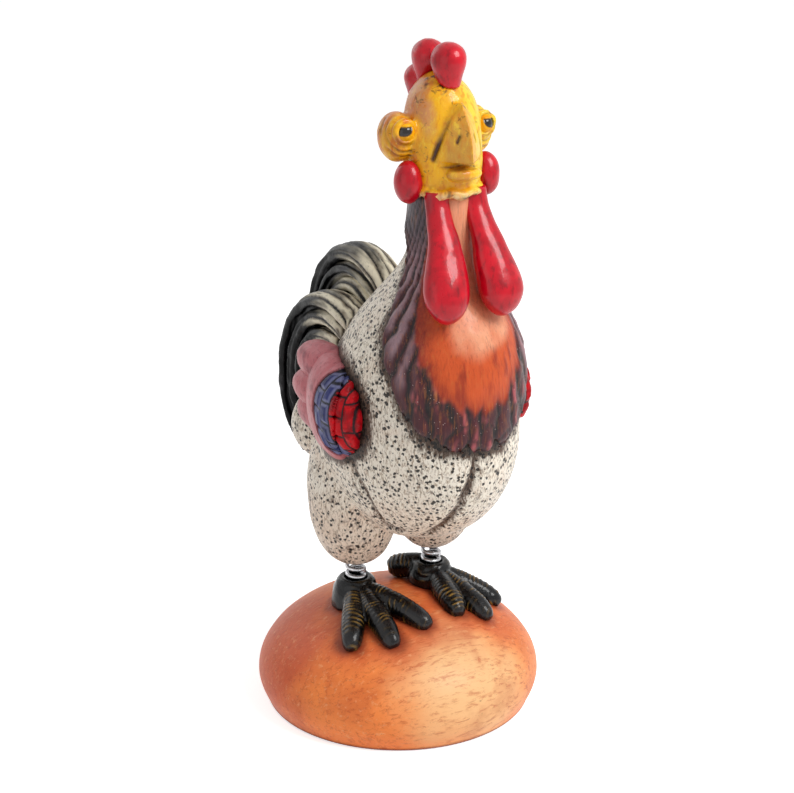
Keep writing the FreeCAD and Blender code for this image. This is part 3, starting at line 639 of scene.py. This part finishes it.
def makeFace():
    nodes = ["head", "right_eye_mound", "left_eye_mound", "right_eyelid", "left_eyelid"]
    obj = fused("paintedFace", nodes, face["voxel"], 3, [beakWedge()])
    co = coordsOf(obj)
    flat = folded(co)
    groove = near(toPath(flat, face["groove"]), 0.95)
    mouth = near(co[:, 2] - face["mouth"] - 0.9 * grain(co, 4, 2), 0.45)
    mouth *= 0.45 * ease(-co[:, 1], 43.0, 44.5) * ease(flat[:, 0], 8.5, 5.5)
    nostril = near(toPath(flat, face["nostril"]), 0.6)
    gap = np.linalg.norm(flat - face["eye"], axis=1)
    rings = sum(deep * near(gap + 1.1 * grain(co, 4, 3) - radius, 0.5) for radius, deep in face["rings"])
    rings *= ease(flat[:, 0], 12.5, 14.5) * ease(grain(co, 5, 11), -0.7, 0.2)
    ragged = 1.1 * np.abs(cloud(co * (1, 1, 0.4), 2.6, 14)) * ease(co[:, 2], 211, 208)
    push(obj, ragged - 1.2 * groove - 0.9 * mouth - 0.9 * nostril - rings + 0.35 * cloud(co, 7, 4))
    # painted shade in the beak groove, nostril, hollows and between the eye rings, with the dark mouth line
    dark = np.clip(groove * 1.1 + mouth + nostril * 1.2 + ease(hollows(obj, 6), 0.12, 0.45) * 0.9 + rings * 0.9, 0, 1)
    tone, patch = cloud(co * (1, 1, 0.35), 2.6, 5), cloud(co, 9, 6)
    beak = ease(-co[:, 1], 45.5, 47.5) * ease(co[:, 2], 240, 237)
    cheek = ease(-co[:, 0] + 2.5 * patch + 1.5 * tone, 6.5, 9.5) * ease(co[:, 2], 226, 234) * ease(gap, 5, 8)
    rgb = np.tile(face["yellow"], (len(co), 1))
    for name, share in (("orange", ease(tone + 0.5 * patch, -0.1, 0.5)),
                        # painted highlight: lemon on the side of the face towards the key lamp
                        ("lemon", 0.85 * ease(co[:, 0] + 3 * patch, 0, 5)),
                        # painted shade: tan on the beak's side away from the key lamp
                        ("tan", 0.85 * beak * ease(co[:, 0], 1.5, -0.5)),
                        ("pink", 0.85 * cheek),
                        # painted highlight: cream on the ridges; the cream along the bottom rim is its own pale flakes
                        ("cream", 0.75 * ease(-hollows(obj, 5), 0.1, 0.35) + 0.4 * ease(co[:, 2], 210.5, 208.5))):
        rgb = blendColours(rgb, face[name], share)
    paintColour(obj, "tint", rgb)
    # darker mottling under the comb and along the bottom rim, added to the painted shade
    ends = np.maximum(ease(co[:, 2], 240, 245), 0.7 * ease(co[:, 2], 213, 209))
    paint(obj, "wash", np.maximum(dark, ends * ease(cloud(co, 2.2, 12), 0.15, 0.45)))
    setCoords(obj, nearer(coordsOf(obj)))
    finishPiece(obj, faceFinish(), "rooster", "face_paint", "upper_beak", "lower_beak", *nodes)


def faceFinish():
    f = Finish("ochreFace")
    brush = f.noise(2.4, 5, 0.65, (1.2, 1.2, 0.6), (0.4, 0.2, 0), 0.8)
    grainy = f.noise(0.8, 3, 0.6)
    stain = f.noise(5, 6, 0.7, warp=1.5)
    colour = f.mix(f.between(brush, 0.5, 0.68) * 0.65, f.colour("tint"), face["orange"])
    colour = f.mix(f.between(brush, 0.46, 0.32) * 0.5, colour, face["lemon"])
    colour = f.mix(f.between(stain, 0.59, 0.66) * 0.6, colour, face["brown"])
    # painted shade and brown mottling, in brown
    colour = f.mix((f.attribute("wash") * (0.7 + 0.6 * brush)).least(1.0), colour, face["brown"])
    f.set(Base_Color=colour, Roughness=0.28 + 0.2 * brush, Coat_Weight=0.3, Coat_Roughness=0.1)
    f.bump(brush * 0.6 + grainy * 0.25, 0.3, 0.8)
    return f


def makeEye(side, finish):
    node = side + "_eyeball"
    obj = fused(side + "Eye", [node], 0.22, 1)
    co = coordsOf(obj)
    flat = folded(co)
    dark = lidded(flat)
    push(obj, 0.25 * (1 - dark) + 0.25 * ease(flat[:, 2] - face["slit"][1], face["lidDrop"], face["lidDrop"] + 0.4))
    rgb = np.tile(face["yellow"], (len(co), 1))
    rgb = blendColours(rgb, face["orange"], 0.7 * ease(cloud(co, 2, 4), -0.2, 0.6))
    rgb = blendColours(rgb, face["brown"], ease(np.abs(dark - 0.5), 0.5, 0.2) * 0.8)
    paintColour(obj, "tint", blendColours(rgb, face["black"], dark))
    paint(obj, "pupil", dark)
    setCoords(obj, nearer(coordsOf(obj)))
    finishPiece(obj, finish, "rooster", "eye_paint", node)


def pupilFinish():
    f = Finish("pupilGloss")
    haze = f.noise(2.5, 3)
    pupil = f.attribute("pupil")
    f.set(Base_Color=f.mix(haze * 0.06, f.colour("tint"), face["brown"]), Roughness=0.34 - 0.29 * pupil,
          Coat_Weight=0.6 * pupil)
    f.bump(haze, 0.05, 0.4)
    return f


makeFace()
eyeFinish = pupilFinish()
for side in sides:
    makeEye(side, eyeFinish)
print("face is done")

crimson = {"voxel": 0.45, "swell": 0.5, "tuckFrom": (192, 209), "tuck": 4.5, "drop": 1.5,
           "red": shade(190, 0, 28), "deep": shade(84, 0, 14), "light": shade(214, 4, 34)}


def crimsonFinish():
    f = Finish("crimsonGlaze")
    patch = f.noise(9, 4, warp=0.6)
    brush = f.noise(2.6, 4, 0.6, (1.2, 1.2, 0.5))
    colour = f.mix(f.between(patch, 0.42, 0.66), crimson["red"], crimson["light"])
    colour = f.mix(f.between(brush, 0.5, 0.72) * 0.5, colour, crimson["deep"])
    # painted shade and random darker patches, in deep red
    colour = f.mix(f.attribute("wash"), colour, crimson["deep"])
    f.set(Base_Color=colour, Roughness=0.22 + 0.16 * brush, Coat_Weight=0.3, Coat_Roughness=0.06)
    f.bump(brush * 0.4 + patch * 0.7, 0.35, 0.7)
    return f


def makeCrimson():
    finish = crimsonFinish()
    groups = {"combLobes": nodesWith("comb")}
    for side in sides:
        groups[f"{side}Wattle"] = [f"{side}_wattle"]
        groups[f"{side}EarLobe"] = [f"{side}_ear_lobe"]
    for name, nodes in groups.items():
        obj = fused(name, nodes, crimson["voxel"], 6)
        co = coordsOf(obj)
        if "Wattle" in name:  # the tops go under the face's lower rim
            top = ease(co[:, 2], *crimson["tuckFrom"])
            co[:, 1] += crimson["tuck"] * top
            co[:, 2] -= crimson["drop"] * top
            setCoords(obj, co)
        push(obj, crimson["swell"] * cloud(co, 9, 3, 2))
        # painted shade in the hollows, with random darker patches
        cavityShade = ease(hollows(obj, 20), 0.05, 0.7)
        paint(obj, "wash", np.clip(cavityShade + 0.5 * ease(cloud(co, 8, 5), 0.35, 0.9), 0, 1))
        finishPiece(obj, finish, "rooster", "comb_paint", *nodes)


makeCrimson()
print("comb and wattles are done")

wing = {"voxel": 0.3, "hinge": (17.5, 129.0), "halfHeight": 17.2, "ahead": (0.44, -0.90), "gap": 0.45, "pillow": 0.9,
        "rows": [(0, 7.2, 5, 0), (7.2, 13.0, 7, 0.5), (13.0, 18.6, 7, 0), (18.6, 24.6, 7, 0.5)],
        "rowColours": [("red", "redDeep"), ("red", "redDeep"), ("blue", "navy"), ("blue", "navy")],
        "groups": [("Scales", "wing_red_paint", 0, ["red_scales"]),
                   ("Coverts", "wing_blue_paint", 1.2, ["inner_coverts", "outer_coverts"]),
                   ("FlightFeathers", "wing_pink_paint", 0.5,
                    ["upper_flight_feather", "middle_flight_feather", "lower_flight_feather"])],
        "red": shade(206, 8, 24), "redDeep": shade(120, 2, 14), "blue": shade(50, 56, 112), "navy": shade(14, 18, 50),
        "rim": shade(150, 152, 190), "pink": shade(200, 116, 122), "pinkDeep": shade(126, 60, 70),
        "ink": shade(14, 10, 16), "fleck": shade(236, 200, 180)}


def wingCells(flat):
    # crescent rows that meet at the wing's top and bottom, each split into scales
    lift = np.clip((flat[:, 1] - wing["hinge"][1]) / wing["halfHeight"], -0.985, 0.985)
    narrow = np.sqrt(1 - lift ** 2)
    out = (wing["hinge"][0] - flat[:, 0]) / narrow
    turn = np.arcsin(lift) / math.pi + 0.5
    row = np.full(len(flat), len(wing["rows"]))
    seam, tone = np.full(len(flat), 9.0), np.zeros(len(flat))
    for i, (start, end, count, shift) in enumerate(wing["rows"]):
        here = (out >= start) & (out < end) if i else out < end
        place = turn * count + shift
        cell = np.floor(place)
        split = (0.5 - np.abs(place - cell - 0.5)) * math.pi * wing["halfHeight"] * narrow / count
        rim = np.minimum(end - out, out - start if i else 9) * narrow
        seam = np.where(here, np.minimum(split, rim), seam)
        tone = np.where(here, np.sin(cell * 7.3 + i * 3.1) * 0.5, tone)
        row = np.where(here, i, row)
        if i == 0:
            middle = np.abs(out - 2.6 - 0.5 * np.sin(cell * 5)) * narrow
            seam = np.where(here, np.minimum(seam, middle), seam)
    return row, seam, tone


def makeWing(side):
    for name, slot, swell, parts in wing["groups"]:
        nodes = [f"{side}_wing_{part}" for part in parts]
        obj = fused(side + name, nodes, wing["voxel"], 2)
        co = coordsOf(obj)
        flat = np.stack([-np.abs(co[:, 0]) * wing["ahead"][0] + co[:, 1] * wing["ahead"][1], co[:, 2]], 1)
        flat += 0.35 * np.stack([grain(co, 4, 1), grain(co, 4, 2)], 1)
        row, seam, tone = wingCells(flat)
        scaled = 1.0 * (row < len(wing["rows"]))
        seam += 0.12 * cloud(co, 1.5, 4)
        crack = ease(seam, wing["gap"] + 0.15, wing["gap"] - 0.25) * scaled
        brush = cloud(co, 2.4, 5) + tone
        rgb = np.tile(wing["pink"], (len(co), 1))
        rgb = blendColours(rgb, wing["pinkDeep"], 0.7 * ease(cloud(co, 4, 2), 0.0, 0.8))
        for i, (light, dark) in enumerate(wing["rowColours"]):
            here = 1.0 * (row == i)
            rgb = blendColours(rgb, wing[light], here)
            rgb = blendColours(rgb, wing[dark], here * ease(brush, -0.1, 0.9) * 0.75)
            if light == "blue":
                rgb = blendColours(rgb, wing["rim"], here * 0.5 * ease(seam, 1.5, 0.9))
        rgb = blendColours(rgb, wing["fleck"], 0.7 * ease(cloud(co, 1.3, 8), 0.6, 0.75) * ease(seam, 1.2, 0.5) * scaled)
        # painted shade in the hollows, added to the dark cracks between the scales
        cavityShade = ease(hollows(obj, 10), 0.25, 0.7)
        rgb = blendColours(rgb, wing["ink"], np.clip(crack * 0.97 + cavityShade * 0.5, 0, 1))
        push(obj, swell + wing["pillow"] * (ease(seam, 0, 1.9) - 1) * scaled + 0.2 * cloud(co, 3, 3))
        paintColour(obj, "tint", rgb)
        finishPiece(obj, wingFinish, "rooster", slot, *nodes)


def enamelFinish(name, ink, hairSize, stretch, gloss=0.3, coat=0.1):
    f = Finish(name)
    hair = f.noise(hairSize, 4, 0.65, stretch)
    colour = f.mix(f.between(hair, 0.5, 0.75) * 0.4, f.colour("tint"), ink)
    f.set(Base_Color=colour, Roughness=gloss + 0.2 * hair, Coat_Weight=coat, Coat_Roughness=0.08,
          Specular_IOR_Level=0.14)
    f.bump(hair, 0.25, 0.8)
    return f


wingFinish = enamelFinish("wingEnamel", wing["ink"], 1.6, (1, 1, 1))
for side in sides:
    makeWing(side)
print("wings are done")

tail = {"voxel": 0.65, "hub": (24, 126), "turnFrom": -120, "step": 6, "creamTurn": (64, 102), "lump": 0.4,
        "streak": 0.3, "ridges": 8, "ridge": 0.8, "cream": shade(248, 238, 212), "grey": shade(96, 94, 98),
        "ink": shade(7, 7, 9), "brown": shade(84, 60, 42)}


def middles(turn, values):
    # the mean of each value over a few degrees of the feather's arc, as its middle line there
    first, step = tail["turnFrom"], tail["step"]
    bins = ((turn - first) / step).astype(int)
    counts = np.bincount(bins)
    filled = counts > 0
    spots = (np.arange(len(counts)) * step + first + step / 2)[filled]
    return [np.interp(turn, spots, np.bincount(bins, value)[filled] / counts[filled]) for value in values]


def makeTail():
    finish = enamelFinish("sicklePaint", tail["ink"], 1.3, (1.5, 0.5, 0.5), 0.22, 0.0)
    start, full = tail["creamTurn"]
    for count, name in enumerate(nodesWith("tail")):
        core = name == "tail_core"
        obj = fused(name.replace("_", "") + "Painted", [name], tail["voxel"], 3)
        co = coordsOf(obj)
        away = co[:, 1:] - tail["hub"]
        turn = np.degrees(np.arctan2(away[:, 1], away[:, 0]))
        turn = np.where(turn < tail["turnFrom"], turn + 360, turn)
        reach = np.hypot(*away.T)
        along = np.stack([co[:, 0] * 2.4, reach * 2.4, turn * 0.22], 1) + 5 * count
        streak = cloud(along, 4.2, 5)
        middleX, middleReach = middles(turn, (co[:, 0], reach))
        lane = np.arctan2(co[:, 0] - middleX, reach - middleReach) / (2 * math.pi) * tail["ridges"] + 0.37 * count
        lane += 0.35 * cloud(along, 12, 8)
        across = np.abs((lane - np.floor(lane)) * 2 - 1)  # 0 along a ridge, 1 in the groove
        groove = ease(across + 0.25 * streak, 0.5, 0.95) * (not core)
        push(obj, tail["lump"] * cloud(co, 8, 3) + tail["streak"] * streak - tail["ridge"] * groove)
        cavityShade = ease(hollows(obj, 8), 0.15, 0.5)
        inner = 1.2 * (np.percentile(reach, 60) - 34)
        own = 16 * np.sin((np.floor(lane) % tail["ridges"]) * 2.6 + 1.7 * count)
        pale = ease(turn + 10 * cloud(along, 14, 4) - inner + own + 16 * streak, start, full)
        rgb = np.tile(tail["ink"], (len(co), 1))
        # grey on the ridges: random streaks, with painted highlight along the ridge tops
        for tone, share in (("grey", 0.55 * ease(streak + cloud(co, 5, 6) + 0.6 * (0.5 - across), 0.4, 1.2)),
                            ("cream", pale),
                            # painted shade: brown down the sides of the cream ridges
                            ("brown", 0.8 * pale * ease(across - 0.7 * streak, 0.3, 0.8)),
                            # ink: painted shade in the hollows and grooves, where the black stripes also run, and
                            # random dark streaks
                            ("ink", cavityShade + ease(groove, 0.35, 0.9) + 0.7 * ease(-streak, 0.35, 0.6))):
            rgb = blendColours(rgb, tail[tone], share)
        paintColour(obj, "tint", rgb)
        finishPiece(obj, finish, "rooster", "body_paint" if core else "tail_paint", name)


makeTail()
print("tail is done")

foot = {"voxel": 0.5, "ankle": (16.5, 3.5), "wrinkle": 0.15, "spacing": 1.7, "black": shade(8, 8, 10),
        "gold": shade(190, 148, 70), "claw": shade(34, 32, 34)}


def makeFoot(side, sign):
    node = side + "_foot"
    obj = fused(side + "Toes", [node], foot["voxel"], 4)
    co = coordsOf(obj)
    out = co[:, :2] - (foot["ankle"][0] * sign, foot["ankle"][1])
    reach = np.hypot(*out.T)
    wave = np.sin(reach * 2 * math.pi / foot["spacing"] + 5 * grain(co, 5, 2)) * (0.6 + 0.8 * grain(co, 3, 7))
    claws = ease(reach, 26.0, 28.5) * (out[:, 1] < 0)
    push(obj, foot["wrinkle"] * wave * ease(reach, 5, 8) * (1 - claws) + 0.15 * cloud(co, 4, 3))
    ridge = ease(-hollows(obj, 8), 0.02, 0.22)
    rgb = np.tile(foot["black"], (len(co), 1))
    worn = ridge * ease(wave * 0.6 + cloud(co, 4, 5), 0.1, 0.8) * ease(reach, 4, 12)
    rgb = blendColours(rgb, foot["gold"], 0.8 * worn)
    rgb = blendColours(rgb, foot["claw"], claws * 0.75 * ease(cloud(co, 3, 6), -0.6, 0.3))
    paintColour(obj, "tint", rgb)
    finishPiece(obj, footFinish, "base", "foot_paint", node)


footFinish = enamelFinish("footEnamel", foot["black"], 1.1, (1, 1, 1), 0.12, 0.3)
for side, sign in sides.items():
    makeFoot(side, sign)
print("feet are done")

coil = {"x": 16.5, "y": 3.5, "bottom": 50.3, "top": 58.4, "pitch": 2.25, "radius": 3.3, "wire": 0.8,
        "perTurn": 40, "aroundWire": 20, "steel": shade(205, 205, 208), "haze": shade(120, 118, 120)}


def coilTree():
    tree = bpy.data.node_groups.new("coilPiece", "GeometryNodeTree")
    sockets = tree.interface
    for name, kind in (("Turns", "Float"), ("Start turn", "Float"), ("Height", "Float"), ("Radius", "Float"),
                       ("Wire", "Float"), ("Place", "Vector"), ("Finish", "Material")):
        sockets.new_socket(name, in_out="INPUT", socket_type="NodeSocket" + kind)
    sockets.new_socket("Geometry", in_out="OUTPUT", socket_type="NodeSocketGeometry")
    nodes, link = tree.nodes, tree.links.new
    given, out = nodes.new("NodeGroupInput"), nodes.new("NodeGroupOutput")
    spiral = nodes.new("GeometryNodeCurveSpiral")
    spiral.inputs["Resolution"].default_value = coil["perTurn"]
    for place in ("Start Radius", "End Radius"):
        link(given.outputs["Radius"], spiral.inputs[place])
    link(given.outputs["Turns"], spiral.inputs["Rotations"])
    link(given.outputs["Height"], spiral.inputs["Height"])
    turned = nodes.new("GeometryNodeTransform")
    spin = nodes.new("ShaderNodeMath")
    spin.operation = "MULTIPLY"
    spin.inputs[1].default_value = 2 * math.pi
    link(given.outputs["Start turn"], spin.inputs[0])
    turn = nodes.new("ShaderNodeCombineXYZ")
    link(spin.outputs[0], turn.inputs["Z"])
    link(spiral.outputs["Curve"], turned.inputs["Geometry"])
    link(turn.outputs[0], turned.inputs["Rotation"])
    link(given.outputs["Place"], turned.inputs["Translation"])
    ring = nodes.new("GeometryNodeCurvePrimitiveCircle")
    ring.inputs["Resolution"].default_value = coil["aroundWire"]
    link(given.outputs["Wire"], ring.inputs["Radius"])
    tube = nodes.new("GeometryNodeCurveToMesh")
    tube.inputs["Fill Caps"].default_value = True
    link(turned.outputs["Geometry"], tube.inputs["Curve"])
    link(ring.outputs["Curve"], tube.inputs["Profile Curve"])
    real = nodes.new("GeometryNodeRealizeInstances")
    finish = nodes.new("GeometryNodeSetMaterial")
    link(tube.outputs["Mesh"], real.inputs[0])
    link(real.outputs[0], finish.inputs["Geometry"])
    link(given.outputs["Finish"], finish.inputs["Material"])
    link(finish.outputs["Geometry"], out.inputs["Geometry"])
    return tree


def grown(name, tree, inputs):
    obj = linked(name, bpy.data.meshes.new(name))
    made = obj.modifiers.new("grow", "NODES")
    made.node_group = tree
    keys = {item.name: item.identifier for item in tree.interface.items_tree if item.in_out == "INPUT"}
    for key, value in inputs.items():
        made[keys[key]] = value
    return applied(obj)


def steelFinish():
    f = Finish("springSteel")
    haze = f.noise(1.5, 4, 0.6)
    f.set(Base_Color=f.mix(haze * 0.5, coil["steel"], coil["haze"]), Metallic=1.0, Roughness=0.16 + 0.2 * haze,
          Specular_IOR_Level=0.5)
    f.bump(haze, 0.03, 0.4)
    return f


def makeCoils():
    tree, finish = coilTree(), steelFinish()
    height = (coil["top"] - coil["bottom"]) / 3
    turns = height / coil["pitch"]
    for side, sign in sides.items():
        for i, part in enumerate(("Lower", "Middle", "Upper")):
            low = coil["bottom"] + i * height
            obj = grown(f"{side}Coil{part}", tree, {
                "Turns": turns, "Start turn": i * turns, "Height": height * mm, "Radius": coil["radius"] * mm,
                "Wire": coil["wire"] * mm, "Place": Vector((coil["x"] * sign, coil["y"], low)) * mm,
                "Finish": finish.material})
            tuple(Vector((coil["x"] * sign, coil["y"], low)) * mm)
            tuple(Vector((coil["x"] * sign, coil["y"], low + height)) * mm)
            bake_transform(obj)
            if part == "Middle":
                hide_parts(side + "_leg_spring")


makeCoils()
print("springs are done")

studio = {"sky": 0.33, "backdrop": 1.0, "lift": (0.66, 0.66, 0.66), "floorHalf": 3000, "aim": (0, 0, 120),
          "lamps": [("keyLamp", (330, -560, 760), 0.42, 6.0), ("fillLamp", (-760, -300, 300), 0.6, 0.6),
                    ("rimLamp", (-300, 650, 520), 0.5, 1.0)],
          "floor": (0.94, 0.94, 0.94), "floorPale": (0.96, 0.96, 0.96)}


def seenDirectly(tree):
    # 1 for rays from the camera, off metal and through glass, which see the backdrop's own white
    rays = tree.nodes.new("ShaderNodeLightPath")
    seen = Wire(tree, rays.outputs["Is Camera Ray"])
    for name in ("Is Glossy Ray", "Is Transmission Ray"):
        seen = seen.most(Wire(tree, rays.outputs[name]))
    return seen


def addStudio():
    world = bpy.data.worlds.new("studioWorld")
    bpy.context.scene.world = world
    world.use_nodes = True
    back = world.node_tree.nodes["Background"]
    back.inputs["Color"].default_value = (1, 1, 1, 1)
    extra = studio["backdrop"] - studio["sky"]
    plug(world.node_tree, back.inputs["Strength"], seenDirectly(world.node_tree) * extra + studio["sky"])
    for name, place, size, power in studio["lamps"]:
        lamp = bpy.data.lights.new(name, "AREA")
        lamp.size, lamp.energy = size, power
        obj = linked(name, lamp)
        obj.location = Vector(place) * mm
        obj.rotation_euler = (Vector(studio["aim"]) - Vector(place)).to_track_quat("-Z", "Y").to_euler()
    half = studio["floorHalf"]
    floor = meshPiece("paleFloor", [(-half, -half, 0), (half, -half, 0), (half, half, 0), (-half, half, 0)],
                      [(0, 1, 2, 3)])
    finish = Finish("floorPaint")
    finish.set(Base_Color=finish.mix(finish.noise(300, 2) * 0.1, studio["floor"], studio["floorPale"]), Roughness=0.9,
               Emission_Color=finish.mix(seenDirectly(finish.tree), (0, 0, 0), studio["lift"]), Emission_Strength=1.0)
    floor.data.materials.append(finish.material)
    bpy.context.scene.view_settings.view_transform = "Standard"


addStudio()
print("studio is done")
